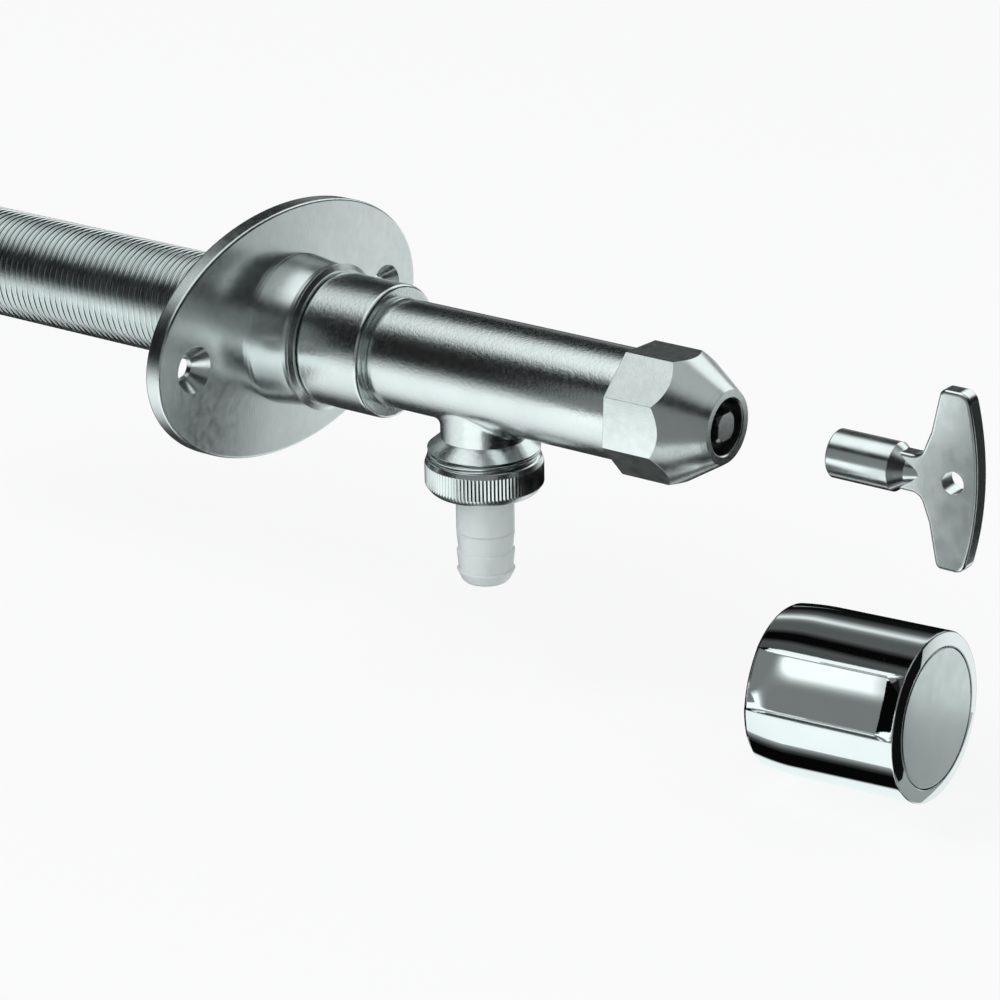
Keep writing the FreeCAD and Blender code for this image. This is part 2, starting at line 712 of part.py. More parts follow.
def check_spring():
    body = new_body("check_spring", "branch_at")
    wire = new_sketch(body, "XZ_Plane")
    circle(wire, ("spring_radius", f"{CAGE_FLOOR} + spring_wire / 2 + spring_gap"), "spring_wire / 2")
    coil = body.newObject("PartDesign::AdditiveHelix", "coil")
    coil.Profile = wire
    coil.ReferenceAxis = (wire, ["V_Axis"])
    coil.Mode = "height-turns-angle"
    coil.setExpression("Height", bound(f"{POPPET_END} - {CAGE_FLOOR} - spring_wire - 2 * spring_gap"))
    coil.setExpression("Turns", bound("spring_turns"))
    coil.Angle = 0


def outlet_washer():
    body = new_body("outlet_washer", "branch_at")
    top = "0 - outlet_end - face_gap"
    spun(body, [
        ("washer_bore", top), ("washer_radius", top),
        ("washer_radius", OUTLET_SEAL_END), ("washer_bore", OUTLET_SEAL_END),
    ], axis="V_Axis")


def hose_tail():
    body = new_body("hose_tail", "branch_at")
    barbs = []
    for turn in range(3):
        top = f"(0 - barb_first - barb_pitch * {turn})"
        barbs += [("tail_valley", f"{top} + barb_step"), ("tail_barb", top)]
    spun(body, [
        ("tail_bore", OUTLET_SEAL_END), ("tail_flange_radius", OUTLET_SEAL_END),
        ("tail_flange_radius", TAIL_LIP), ("tail_shoulder", TAIL_LIP),
        ("tail_shoulder", f"{UNION_END} - ring_gap"), ("tail_stub", f"{UNION_END} - ring_gap"),
        ("tail_stub", "2 * barb_step - barb_first"),
    ] + barbs + [
        ("tail_tip", "tail_tip_bevel - tail_end"), ("tail_tip - tail_tip_bevel", "0 - tail_end"),
        ("tail_bore", "0 - tail_end"),
    ], axis="V_Axis")


def union_nut():
    body = new_body("union_nut", "branch_at")
    lip = f"({TAIL_LIP} - face_gap)"
    thread = "(thread_radius + run_fit)"
    spun(body, [
        (thread, "0 - union_top"), ("union_radius", UNION_BAND_TOP), ("union_radius", UNION_BAND_END),
        ("union_end_radius", UNION_END), ("tail_shoulder + run_fit", UNION_END),
        ("tail_shoulder + run_fit", lip), (thread, lip),
    ], axis="V_Axis")


def socket_key():
    body = new_body("socket_key", "key_at")
    upper = [
        ("key_barrel_length", "key_neck"), ("key_neck_end", "key_neck"), ("key_wing_root", "key_wing_rise"),
        ("key_wing_tip", "key_half_span"), ("key_length", "key_half_span"),
    ]
    lower = [(x, f"0 - {z}") for x, z in reversed(upper)]
    plate = new_sketch(body, "XZ_Plane")
    polygon(plate, upper + lower)
    pushed(body, plate, "key_thick", both=True)
    # The outer edge of the wings is one shallow arc
    bulge = new_sketch(body, "XZ_Plane")
    circle(bulge, ("key_length - key_bulge", "0"), "key_bulge")
    side = "key_bulge * 3"
    far = f"(0 - {side})"
    polygon(bulge, [(far, far), (side, far), (side, side), (far, side)])
    trimmed = pushed(body, bulge, "key_thick * 2", cut=True, both=True)
    span = value("key_half_span")
    thick = value("key_thick")
    neck = value("key_neck_end")
    tip = value("key_wing_tip")

    def corner(low_x, high_x, low_z):
        """Test for the plate's short edges within a stretch of X, at least this far from the axis."""
        def wanted(edge):
            box = edge.BoundBox
            short = box.XLength < 0.01 and box.ZLength < 0.01 and abs(box.YLength - thick) < 0.01
            return short and low_x < box.XMin < high_x and abs(box.ZMin) > low_z
        return wanted

    def rim(edge):
        box = edge.BoundBox
        flat = box.YLength < 0.01 and abs(abs(box.YMin) - thick / 2) < 0.01
        return flat and not (box.XLength < 0.01 and box.XMin < neck)
    outer = softened(body, trimmed, corner(tip + 1, 2 * tip, span - 0.1), "key_tip_round")
    inner = softened(body, outer, corner(tip - 0.1, tip + 0.1, span - 0.1), "key_inner_round")
    necked = softened(body, inner, corner(neck - 0.1, neck + 0.1, 0), "key_neck_round")
    softened(body, necked, rim, "key_edge_round")
    # The barrel runs into the plate by a short cone
    shoulder = "(key_barrel_length + key_shoulder)"
    spun(body, [
        ("0", "0"), ("0", "key_barrel - key_mouth_bevel"), ("key_mouth_bevel", "key_barrel"),
        ("key_barrel_length", "key_barrel"), (shoulder, "key_shoulder_radius"),
        (f"{shoulder} + key_shoulder", "key_thick / 2"), (f"{shoulder} + key_shoulder", "0"),
    ])
    hole = new_sketch(body, "XZ_Plane")
    circle(hole, ("key_hole_at", "0"), "key_hole / 2")
    pushed(body, hole, "key_thick * 2", cut=True, both=True)
    socket = new_sketch(body, "YZ_Plane")
    polygon(socket, regular(across_flats("key_square", 4), 4, "45"))
    pushed(body, socket, "key_socket_depth", cut=True, reverse=True)


def knob_body(label):
    """Body that lies beside the valve, its axis turned a little outwards and up from X."""
    body = new_body(label, "knob_at", "0 - knob_side", "0 - knob_drop")
    for axis, share in (("x", "0"), ("y", "0 - cos(45)"), ("z", "cos(45)")):
        body.setExpression("Placement.Rotation.Axis." + axis, bound(share))
    body.setExpression("Placement.Rotation.Angle", bound("knob_tilt"))
    return body


def knob_shell():
    body = knob_body("knob_shell")
    blank = spun(body, [
        ("0", "0"), ("0", "knob_back_radius"), ("knob_taper", "knob_radius"),
        ("knob_length - knob_front_fall", "knob_radius"), ("knob_length", "cap_radius + 2 * cap_gap"),
        ("knob_length", "0"),
    ])
    belly = ring_edge("knob_radius", "knob_taper")
    front = ring_edge("knob_radius", "knob_length - knob_front_fall")
    back = ring_edge("knob_back_radius", "0")
    rounded = softened(body, blank, belly, "knob_taper_round")
    rounded = softened(body, rounded, front, "knob_front_round")
    softened(body, rounded, back, "knob_back_round")
    # Each flute is the side of a large wheel whose axis lies along the knob, with a sloping front end
    floor = "(knob_radius - flute_depth)"
    side = "(knob_radius * cos(flute_width / 2))"
    wheel = f"(({floor} ^ 2 + knob_radius ^ 2 - 2 * {floor} * {side}) / (2 * ({side} - {floor})))"
    axis_at = f"({floor} + {wheel})"
    clear = f"({floor} + flute_rise)"
    flute = new_sketch(body, "XZ_Plane")
    flute.setExpression("AttachmentOffset.Rotation.Axis.x", "1")
    flute.setExpression("AttachmentOffset.Rotation.Axis.y", "0")
    flute.setExpression("AttachmentOffset.Rotation.Axis.z", "0")
    flute.setExpression("AttachmentOffset.Rotation.Angle", bound("flute_turn"))
    polygon(flute, [
        ("0 - 1", axis_at), ("0 - 1", floor), ("flute_end", floor),
        ("flute_end + flute_run", clear), ("flute_end + flute_run", axis_at),
    ])
    cut = spin_sketch(body, flute, own_axis(flute, ("0", axis_at), ("flute_end", axis_at)), True)
    around(body, cut, 3)
    seat = "(knob_length - cap_depth - hub_seat_depth)"
    spun(body, [
        ("0 - 1", "0"), ("0 - 1", "knob_cavity + cavity_bevel"), ("0", "knob_cavity + cavity_bevel"),
        ("cavity_bevel", "knob_cavity"), ("cavity_depth", "knob_cavity"),
        ("cavity_depth + cavity_slope - 0.5", "hub_socket"),
        (seat, "hub_socket"), (seat, "0"),
    ], cut=True)
    pocket = tube_outline("knob_length - cap_depth", "knob_length + 1", "0", "cap_radius + cap_gap")
    spun(body, pocket, cut=True)


def knob_hub():
    body = knob_body("knob_hub")
    seat = "(knob_length - cap_depth - hub_seat_depth)"
    spun(body, [
        ("hub_inset", "0"), ("hub_inset", "hub_outer"), ("cavity_depth", "hub_outer"),
        ("cavity_depth + cavity_slope", "hub_flange"), (f"{seat} - face_gap", "hub_flange"),
        (f"{seat} - face_gap", "0"),
    ])
    socket = new_sketch(body, "YZ_Plane")
    polygon(socket, regular(across_flats("key_square", 4), 4, "45"))
    pushed(body, socket, "hub_socket_depth + hub_inset", cut=True, reverse=True)


def knob_cap():
    body = knob_body("knob_cap")
    disc = spun(body, tube_outline("(knob_length - cap_depth + face_gap)", "knob_length", "0", "cap_radius"))
    softened(body, disc, ring_edge("cap_radius", "knob_length"), "cap_round")


wall_flange()
wall_sleeve()
lock_collar()
valve_body()
seal_ring("body_seal", BODY_SEAL_MIDDLE, f"({SLEEVE_BORE} - seal_section)", SLEEVE_BORE)
head_nut()
spindle_guide()
seal_ring("spindle_seals", SEAL_MIDDLE, "(spindle_radius + run_fit)", "(spindle_radius + seal_section)", 2)
seal_ring("guide_seal", GUIDE_SEAL_MIDDLE, "(guide_bore - seal_section)", "guide_bore")
spindle()
thrust_washer()
retaining_ring()
seat_fitting()
disc_carrier()
valve_washer()
washer_screw()
check_cage()
check_poppet()
check_spring()
outlet_washer()
hose_tail()
union_nut()
socket_key()
knob_shell()
knob_hub()
knob_cap()

doc.recompute()

for item in doc.Objects:
    if "Invalid" in item.State or "Error" in item.State:
        raise RuntimeError(f"{item.Label} failed: {item.State}")
pieces = [item for item in doc.Objects if item.TypeId == "PartDesign::Body"]
for piece in pieces:
    if piece.Shape.isNull() or not piece.Shape.isValid():
        raise RuntimeError(f"{piece.Label} has no valid shape")

os.makedirs("parts", exist_ok=True)
for piece in pieces:
    piece.Shape.exportStep(f"parts/{piece.Label}.step")
    print(f"{piece.Label}: {len(piece.Shape.Solids)} solid, {piece.Shape.Volume:.1f} mm3")
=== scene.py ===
import math
import bmesh
import bpy
from mathutils import Matrix, Vector


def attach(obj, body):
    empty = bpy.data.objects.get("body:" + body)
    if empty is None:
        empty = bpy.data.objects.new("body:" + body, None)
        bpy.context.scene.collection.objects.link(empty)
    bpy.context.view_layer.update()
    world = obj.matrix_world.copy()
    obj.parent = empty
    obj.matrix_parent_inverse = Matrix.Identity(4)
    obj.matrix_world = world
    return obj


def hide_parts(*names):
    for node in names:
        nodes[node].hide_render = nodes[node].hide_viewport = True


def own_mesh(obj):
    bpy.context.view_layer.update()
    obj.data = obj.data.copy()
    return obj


# Frost-proof outdoor wall tap with its socket key and knob

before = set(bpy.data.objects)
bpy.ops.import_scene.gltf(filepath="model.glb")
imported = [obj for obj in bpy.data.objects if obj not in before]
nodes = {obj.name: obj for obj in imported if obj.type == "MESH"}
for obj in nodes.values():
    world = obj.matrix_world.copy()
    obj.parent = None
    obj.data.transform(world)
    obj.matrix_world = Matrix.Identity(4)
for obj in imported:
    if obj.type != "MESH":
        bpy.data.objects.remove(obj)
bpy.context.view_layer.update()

# Sizes in metres: the pipe thread that sleeve and outlet share
THREAD_CREST = 0.01322
THREAD_PITCH = 0.001814
THREAD_DEPTH = 0.00108
CREST_SHARE = 0.16
FLANK_SHARE = 0.68

THREAD_SEGMENTS = 96
THREAD_ROWS = 12

# Sleeve
SLEEVE_BORE = 0.01102
SLEEVE_BACK = -0.150
SLEEVE_FRONT = 0.0359
THREAD_END = -0.0002
SHANK_RADIUS = 0.0129
SLEEVE_BEVEL = 0.0009

# Body and outlet
BRANCH_X = 0.0604
OUTLET_TOP = -0.0182
OUTLET_END = -0.0245
OUTLET_BEVEL = 0.0005
OUTLET_SHANK = 0.0126
OUTLET_OVERLAP = 0.0004
CASTING_OVERLAP = 0.00005
TUBE_RADIUS = 0.0129
NECK_RADIUS = 0.0101
NECK_END = -0.0156
CHECK_BORE = 0.0085

# Points this close count as one, places this near a round shape lie on it, and a face that agrees
# this much with the shape's direction belongs to it
WELD = 1e-7
NEAR = 0.00002
FACING = 0.9


def add_object(name, data):
    thing = bpy.data.objects.new(name, data)
    bpy.context.scene.collection.objects.link(thing)
    return thing


# Camera at the photograph's viewing angle

CAMERA_PLACE = (0.576407, -0.698012, 0.308830)
LENS = 144.0
SENSOR = 36.0
CLIP_START = 0.01
AZIMUTH = math.radians(36.2434)
ELEVATION = math.radians(21.4324)
ROLL = math.radians(-0.9220)


def place_camera():
    back = Vector((
        math.sin(AZIMUTH) * math.cos(ELEVATION),
        -math.cos(AZIMUTH) * math.cos(ELEVATION),
        math.sin(ELEVATION),
    ))
    level = Vector((math.cos(AZIMUTH), math.sin(AZIMUTH), 0.0))
    rise = back.cross(level)
    right = level * math.cos(ROLL) + rise * math.sin(ROLL)
    up = rise * math.cos(ROLL) - level * math.sin(ROLL)
    data = bpy.data.cameras.new("camera")
    data.lens = LENS
    data.sensor_width = SENSOR
    data.clip_start = CLIP_START
    camera = add_object("camera", data)
    turn = Matrix((right, up, back)).transposed().to_4x4()
    camera.matrix_world = Matrix.Translation(CAMERA_PLACE) @ turn
    bpy.context.scene.camera = camera


# Material tools

METAL_BLOTCHES = 90.0
MOULDED_BLOTCHES = 120.0
MOULDED_GRAIN = 900.0
MOULDED_DEPTH = 0.00001
SOFT_REACH = 0.002
BEVEL_SAMPLES = 4


def new_material(name):
    material = bpy.data.materials.new(name)
    material.use_nodes = True
    tree = material.node_tree
    shader = tree.nodes["Principled BSDF"]
    return material, tree, shader


def link(tree, start, end):
    tree.links.new(start, end)


def noise(tree, coordinates, scale, detail=2.0, stretch=None):
    texture = tree.nodes.new("ShaderNodeTexNoise")
    texture.inputs["Scale"].default_value = scale
    texture.inputs["Detail"].default_value = detail
    if stretch is not None:
        mapping = tree.nodes.new("ShaderNodeMapping")
        mapping.inputs["Scale"].default_value = stretch
        link(tree, coordinates, mapping.inputs["Vector"])
        coordinates = mapping.outputs["Vector"]
    link(tree, coordinates, texture.inputs["Vector"])
    return texture.outputs["Fac"]


def ramp(tree, source, low, high, start=0.35, end=0.65):
    node = tree.nodes.new("ShaderNodeMapRange")
    node.inputs["From Min"].default_value = start
    node.inputs["From Max"].default_value = end
    node.inputs["To Min"].default_value = low
    node.inputs["To Max"].default_value = high
    link(tree, source, node.inputs["Value"])
    return node.outputs["Result"]


def tint(tree, source, dark, light):
    node = tree.nodes.new("ShaderNodeMix")
    node.data_type = "RGBA"
    node.inputs["A"].default_value = (*dark, 1.0)
    node.inputs["B"].default_value = (*light, 1.0)
    link(tree, source, node.inputs["Factor"])
    return node.outputs["Result"]


def bumped(tree, source, distance, normal=None):
    node = tree.nodes.new("ShaderNodeBump")
    node.inputs["Strength"].default_value = 1.0
    node.inputs["Distance"].default_value = distance
    link(tree, source, node.inputs["Height"])
    if normal is not None:
        link(tree, normal, node.inputs["Normal"])
    return node.outputs["Normal"]


def metal(name, dark, light, rough, grain=1500.0, grain_depth=0.00001, mottle=260.0,
          mottle_depth=0.00001, stretch=None, edge=0.0002):
    """Plated or turned metal: fine grain, slow blotches in colour and gloss, and softly broken edges.

    The grain and the mottle each have a noise scale and a depth in metres."""
    material, tree, shader = new_material(name)
    place = tree.nodes.new("ShaderNodeTexCoord").outputs["Object"]
    blotch = noise(tree, place, METAL_BLOTCHES, 3.0)
    fine = noise(tree, place, grain, 2.0, stretch)
    wide = noise(tree, place, mottle, 3.0)
    link(tree, tint(tree, ramp(tree, blotch, 0.0, 1.0), dark, light), shader.inputs["Base Color"])
    link(tree, ramp(tree, wide, rough[0], rough[1]), shader.inputs["Roughness"])
    shader.inputs["Metallic"].default_value = 1.0
    bevel = tree.nodes.new("ShaderNodeBevel")
    bevel.samples = BEVEL_SAMPLES
    bevel.inputs["Radius"].default_value = edge
    normal = bumped(tree, wide, mottle_depth, bevel.outputs["Normal"])
    normal = bumped(tree, fine, grain_depth, normal)
    link(tree, normal, shader.inputs["Normal"])
    return material


def moulded(name, dark, light, rough, soft=0.0):
    """Moulded plastic or rubber with a faint uneven skin."""
    material, tree, shader = new_material(name)
    place = tree.nodes.new("ShaderNodeTexCoord").outputs["Object"]
    blotch = noise(tree, place, MOULDED_BLOTCHES, 2.0)
    fine = noise(tree, place, MOULDED_GRAIN, 2.0)
    link(tree, tint(tree, ramp(tree, blotch, 0.0, 1.0), dark, light), shader.inputs["Base Color"])
    link(tree, ramp(tree, fine, rough[0], rough[1]), shader.inputs["Roughness"])
    link(tree, bumped(tree, fine, MOULDED_DEPTH), shader.inputs["Normal"])
    shader.inputs["Subsurface Weight"].default_value = soft
    shader.inputs["Subsurface Radius"].default_value = (SOFT_REACH, SOFT_REACH, SOFT_REACH)
    return material


NICKEL = (0.79, 0.83, 0.825), (0.83, 0.87, 0.865)
CUT_NICKEL = (0.76, 0.80, 0.795), (0.82, 0.86, 0.855)

satin = metal("satin_nickel", *NICKEL, (0.19, 0.25), grain=2400.0, grain_depth=0.00002,
              mottle=1150.0, mottle_depth=0.00003)
smooth_satin = metal("smooth_satin_nickel", *NICKEL, (0.22, 0.27), grain=2400.0,
                     grain_depth=0.000012, mottle=500.0, mottle_depth=0.000008)
thread_metal = metal("thread_nickel", *CUT_NICKEL, (0.14, 0.22), edge=0.00005)
knurl_metal = metal("knurl_nickel", *CUT_NICKEL, (0.18, 0.26), edge=0.00005)
brass = metal("turned_brass", (0.70, 0.54, 0.28), (0.80, 0.64, 0.36), (0.22, 0.32),
              stretch=(1.0, 30.0, 30.0))
steel = metal("turned_steel", (0.60, 0.61, 0.61), (0.74, 0.75, 0.75), (0.20, 0.30), edge=0.00005)
key_metal = metal("satin_key", (0.82, 0.87, 0.865), (0.87, 0.92, 0.915), (0.18, 0.24),
                  grain=900.0, grain_depth=0.000005)
chrome = metal("knob_chrome", (0.82, 0.86, 0.86), (0.85, 0.89, 0.89), (0.03, 0.05),
               grain_depth=0.0000003, mottle=50.0, mottle_depth=0.000003, edge=0.0003)
cap_metal = metal("satin_chrome", (0.76, 0.82, 0.81), (0.80, 0.86, 0.85), (0.28, 0.33),
                  grain=2600.0, grain_depth=0.000002, mottle_depth=0.000002)
rubber = moulded("rubber", (0.020, 0.021, 0.022), (0.035, 0.036, 0.038), (0.5, 0.65))
white_plastic = moulded("white_plastic", (0.80, 0.82, 0.80), (0.86, 0.88, 0.86), (0.35, 0.45))
black_plastic = moulded("black_plastic", (0.022, 0.023, 0.025), (0.036, 0.037, 0.040), (0.35, 0.5))
tail_plastic = moulded("tail_plastic", (0.67, 0.73, 0.71), (0.74, 0.80, 0.78), (0.28, 0.40),
                       soft=0.15)

FINISH = {
    "wall_flange": smooth_satin, "wall_sleeve": thread_metal, "lock_collar": satin,
    "valve_body": satin, "body_seal": rubber, "head_nut": smooth_satin, "spindle_guide": brass,
    "spindle_seals": rubber, "guide_seal": rubber, "spindle": steel, "thrust_washer": white_plastic,
    "retaining_ring": steel, "seat_fitting": brass, "disc_carrier": brass, "valve_washer": rubber,
    "washer_screw": steel, "check_cage": white_plastic, "check_poppet": white_plastic,
    "check_spring": steel, "outlet_washer": rubber, "hose_tail": tail_plastic,
    "union_nut": knurl_metal, "socket_key": key_metal, "knob_shell": chrome,
    "knob_hub": black_plastic, "knob_cap": cap_metal,
}

for node, material in FINISH.items():
    mesh = nodes[node].data
    mesh.materials.clear()
    mesh.materials.append(material)


# Mesh tools

def new_piece(name, mesh, materials, body, sharp):
    """Object that rides on a body, smooth but for edges sharper than this many degrees."""
    mesh.validate()
    for material in materials:
        mesh.materials.append(material)
    for face in mesh.polygons:
        face.use_smooth = True
    mesh.set_sharp_from_angle(angle=math.radians(sharp))
    piece = add_object(name, mesh)
    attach(piece, body)
    return piece


def ring_mesh(name, rings, place, segments):
    """Closed mesh of rings whose points a function of ring and angle gives."""
    points = []
    for ring in rings:
        for step in range(segments):
            points.append(place(ring, 2 * math.pi * step / segments))
    faces = []
    count = len(rings)
    for row in range(count):
        ahead = (row + 1) % count
        for step in range(segments):
            beside = (step + 1) % segments
            faces.append((row * segments + step, row * segments + beside,
                          ahead * segments + beside, ahead * segments + step))
    mesh = bpy.data.meshes.new(name)
    mesh.from_pydata(points, [], faces)
    work = bmesh.new()
    work.from_mesh(mesh)
    bmesh.ops.remove_doubles(work, verts=work.verts, dist=WELD)
    bmesh.ops.recalc_face_normals(work, faces=work.faces)
    work.to_mesh(mesh)
    work.free()
    return mesh


def thread_height(travel):
    """Share of the thread's depth after this many turns: round crest and root, straight flanks."""
    wave = abs(((travel % 1.0) - 0.5) * 2.0)
    slope = min(1.0, max(0.0, (wave - CREST_SHARE) / FLANK_SHARE))
    return slope * slope * (3.0 - 2.0 * slope)


def threaded_tube(name, start, end, lead_in, thread_end, shank, bore, place):
    """Closed tube along an axis: right-hand outside thread up to thread_end, then a plain shank."""
    rings = []
    count = int(abs(thread_end - start) / THREAD_PITCH * THREAD_ROWS)
    for row in range(count + 1):
        rings.append((start + (thread_end - start) * row / count, "thread"))
    rings.append((thread_end, "plain"))
    rings.append((end, "plain"))
    rings.append((end, "bore"))
    rings.append((start, "bore"))

    def point(ring, angle):
        along, kind = ring
        if kind == "bore":
            return place(along, bore, angle)
        if kind == "plain":
            return place(along, shank, angle)
        travel = along / THREAD_PITCH - angle / (2 * math.pi)
        radius = THREAD_CREST - THREAD_DEPTH * thread_height(travel)
        radius = min(radius, THREAD_CREST - lead_in + abs(along - start))
        return place(along, radius, angle)
    return ring_mesh(name, rings, point, THREAD_SEGMENTS)


def along_x(along, radius, angle):
    return (along, radius * math.cos(angle), radius * math.sin(angle))


def down_branch(along, radius, angle):
    return (BRANCH_X + radius * math.cos(angle), -radius * math.sin(angle), -along)


def true_normal(place):
    """Direction that the casting's tube, neck or flare faces at this place, None elsewhere."""
    out = Vector((place.x - BRANCH_X, place.y, 0.0))
    round_tube = Vector((0.0, place.y, place.z))
    if abs(round_tube.length - TUBE_RADIUS) < NEAR:
        return round_tube.normalized()
    if place.z > NECK_END and abs(out.length - NECK_RADIUS) < NEAR:
        return out.normalized()
    drop = (NECK_END - place.z) / (NECK_END - OUTLET_TOP)
    flare = NECK_RADIUS + drop * (THREAD_CREST - NECK_RADIUS)
    if 0.0 <= drop <= 1.0 and abs(out.length - flare) < NEAR:
        slope = Vector((0.0, 0.0, THREAD_CREST - NECK_RADIUS))
        return (out.normalized() * (NECK_END - OUTLET_TOP) + slope).normalized()
    return None


def shade_round(mesh):
    """Set the corner normals of the round faces from the shapes they belong to."""
    normals = [corner.vector.copy() for corner in mesh.corner_normals]
    for face in mesh.polygons:
        for corner in face.loop_indices:
            normal = true_normal(mesh.vertices[mesh.loops[corner].vertex_index].co)
            if normal is not None and normal.dot(face.normal) > FACING:
                normals[corner] = normal
    mesh.normals_split_custom_set(normals)


# Sleeve with its thread

sleeve = new_piece(
    "sleeve_thread",
    threaded_tube("sleeve_thread", SLEEVE_BACK, SLEEVE_FRONT, SLEEVE_BEVEL, THREAD_END,
                  SHANK_RADIUS, SLEEVE_BORE, along_x),
    [thread_metal], "valve", sharp=60.0)
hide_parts("wall_sleeve")


# Valve body with its outlet thread

def body_casting():
    """The CAD's body down to its outlet thread, with the normals of its round faces set anew."""
    work = bmesh.new()
    work.from_mesh(nodes["valve_body"].data)
    bmesh.ops.remove_doubles(work, verts=work.verts, dist=WELD)
    everything = work.verts[:] + work.edges[:] + work.faces[:]
    bmesh.ops.bisect_plane(work, geom=everything, plane_co=(0, 0, OUTLET_TOP - CASTING_OVERLAP),
                           plane_no=(0, 0, -1), clear_outer=True)
    mesh = bpy.data.meshes.new("body_casting")
    work.to_mesh(mesh)
    work.free()
    if "custom_normal" in mesh.attributes:
        mesh.attributes.remove(mesh.attributes["custom_normal"])
    piece = new_piece("body_casting", mesh, [satin], "valve", sharp=30.0)
    shade_round(mesh)
    return piece


casting = body_casting()
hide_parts("valve_body")
outlet = new_piece(
    "outlet_thread",
    threaded_tube("outlet_thread", -OUTLET_END, -OUTLET_TOP, OUTLET_BEVEL,
                  -OUTLET_TOP + OUTLET_OVERLAP, OUTLET_SHANK, CHECK_BORE, down_branch),
    [thread_metal], "valve", sharp=60.0)


# Check valve's spring in a mesh of its own that rides on the valve; the real spring shortens towards
# its fixed end as the poppet lifts, this one keeps its length

spring = new_piece("spring_coil", nodes["check_spring"].data.copy(), [], "valve", sharp=60.0)
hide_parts("check_spring")
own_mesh(spring)


# Union nut with its straight knurl

KNURLS = 96
KNURL_STEPS = 6
UNION_TOP = 0.0205
BAND_TOP = 0.0217
BAND_END = 0.0270
UNION_END = 0.0287
UNION_RADIUS = 0.01395
KNURL_DEPTH = 0.00032
UNION_BORE = 0.01329
UNION_HOLE = 0.00717
UNION_MOUTH = 0.01345
UNION_SHOULDER = 0.0129
UNION_FACE = 0.0124
UNION_FLOOR = 0.02745
BAND_EDGE = 0.0001


def union_ring():
    """Union nut turned about the branch: each ring a place, a radius and a share of the knurl."""
    rings = [
        (UNION_TOP, UNION_BORE, 0.0),
        (UNION_TOP + BAND_EDGE, UNION_MOUTH, 0.0),
        (BAND_TOP, UNION_RADIUS - BAND_EDGE, 0.0),
        (BAND_TOP + 2 * BAND_EDGE, UNION_RADIUS, 1.0),
        (BAND_END - 2 * BAND_EDGE, UNION_RADIUS, 1.0),
        (BAND_END, UNION_RADIUS - BAND_EDGE, 0.0),
        (UNION_END - 4 * BAND_EDGE, UNION_SHOULDER, 0.0),
        (UNION_END, UNION_FACE, 0.0),
        (UNION_END, UNION_HOLE, 0.0),
        (UNION_FLOOR, UNION_HOLE, 0.0),
        (UNION_FLOOR, UNION_BORE, 0.0),
    ]

    def point(ring, angle):
        along, radius, knurl = ring
        wave = 0.5 - 0.5 * math.cos(angle * KNURLS)
        return down_branch(along, radius - knurl * KNURL_DEPTH * wave, angle)
    mesh = ring_mesh("union_ring", rings, point, KNURLS * KNURL_STEPS)
    return new_piece("union_ring", mesh, [knurl_metal], "union_nut", sharp=30.0)


union = union_ring()
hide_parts("union_nut")


# Knob's chromed shell: three flutes that grow shallow at the back and end in a slope in front

KNOB_PLACE = Vector((0.1439, -0.001, -0.0578))
KNOB_TILT = math.radians(2.5)
KNOB_LENGTH = 0.0383
KNOB_RADIUS = 0.01945
KNOB_BACK = 0.0187
KNOB_TAPER = 0.010
BACK_ROUND = 0.0008
FRONT_ROUND = 0.0006
FRONT_START = 0.03735
RING_RADIUS = 0.01625
FLUTES = 3
FLUTE_FIRST = math.radians(26.3)
FLUTE_HALF = math.radians(22.25)
FLUTE_WALL = math.radians(2.8)
WALL_DEPTH = 0.0010
FLUTE_DEPTH = 0.0025
FLUTE_BACK_SHARE = 0.12
FLUTE_END = 0.033
FLUTE_FRONT = 0.0378
FLUTE_STEPS = 64
LAND_STEPS = 64
BACK_STEPS = 14
TAPER_STEPS = 24
PLAIN_STEPS = 8
RISE_STEPS = 8
FRONT_STEPS = 14
EDGE_TURN = math.radians(79)
CAP_GAP = 0.0002
CAP_DEPTH = 0.0020
HUB_FRONT = 0.0303
HUB_RADIUS = 0.0075
CAVITY_FRONT = 0.018
CAVITY_SIDE = 0.016
CAVITY_RADIUS = 0.014
MOUTH_BEVEL = 0.0008


def flute_hollow(turn):
    """Depth at this turn from a flute's middle: short curved side walls and a hollow floor."""
    share = min(1.0, (FLUTE_HALF - abs(turn)) / FLUTE_WALL)
    wall = WALL_DEPTH * (1 - (1 - share) ** 2)
    across = min(1.0, abs(turn) / (FLUTE_HALF - FLUTE_WALL))
    return wall + (FLUTE_DEPTH - WALL_DEPTH) * (1 - across ** 2)


